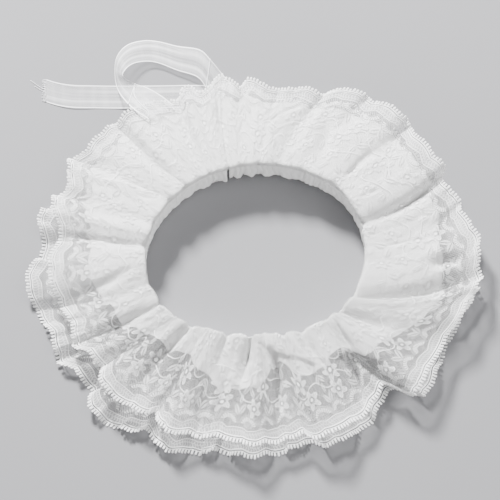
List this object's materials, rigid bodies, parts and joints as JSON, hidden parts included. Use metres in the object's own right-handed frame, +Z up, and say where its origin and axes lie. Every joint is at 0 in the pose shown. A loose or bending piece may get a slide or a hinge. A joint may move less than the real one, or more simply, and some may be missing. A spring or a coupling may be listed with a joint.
{
  "type": "ruffled lace collar, laid open in a ring",
  "caption": "White two-tier pleated lace ruff collar with a lined upper frill, gathered neck band and sheer ribbon ties, laid flat in a ring.",
  "frame": {"origin": "middle of the footprint, on the surface that the collar lies on", "axes": "+Z up from the surface; +Y towards the back of the neck, where the band opens; +X to the right seen from the front"},
  "size_m": [0.3214, 0.3184, 0.0266],
  "materials": {
    "band": "matt white gathered cotton",
    "lace": "white machine lace: net with flower sprigs and a dense scalloped picot edge",
    "lining": "matt plain white cotton, softly creased",
    "ribbon": "sheer white organza with bright selvedges"
  },
  "bodies": {
    "root": {"neck_band": "band", "lower_lace": "lace", "lining": "lining", "upper_lace": "lace", "ribbon_tail": "ribbon", "ribbon_loop": "ribbon"}
  },
  "joints": []
}
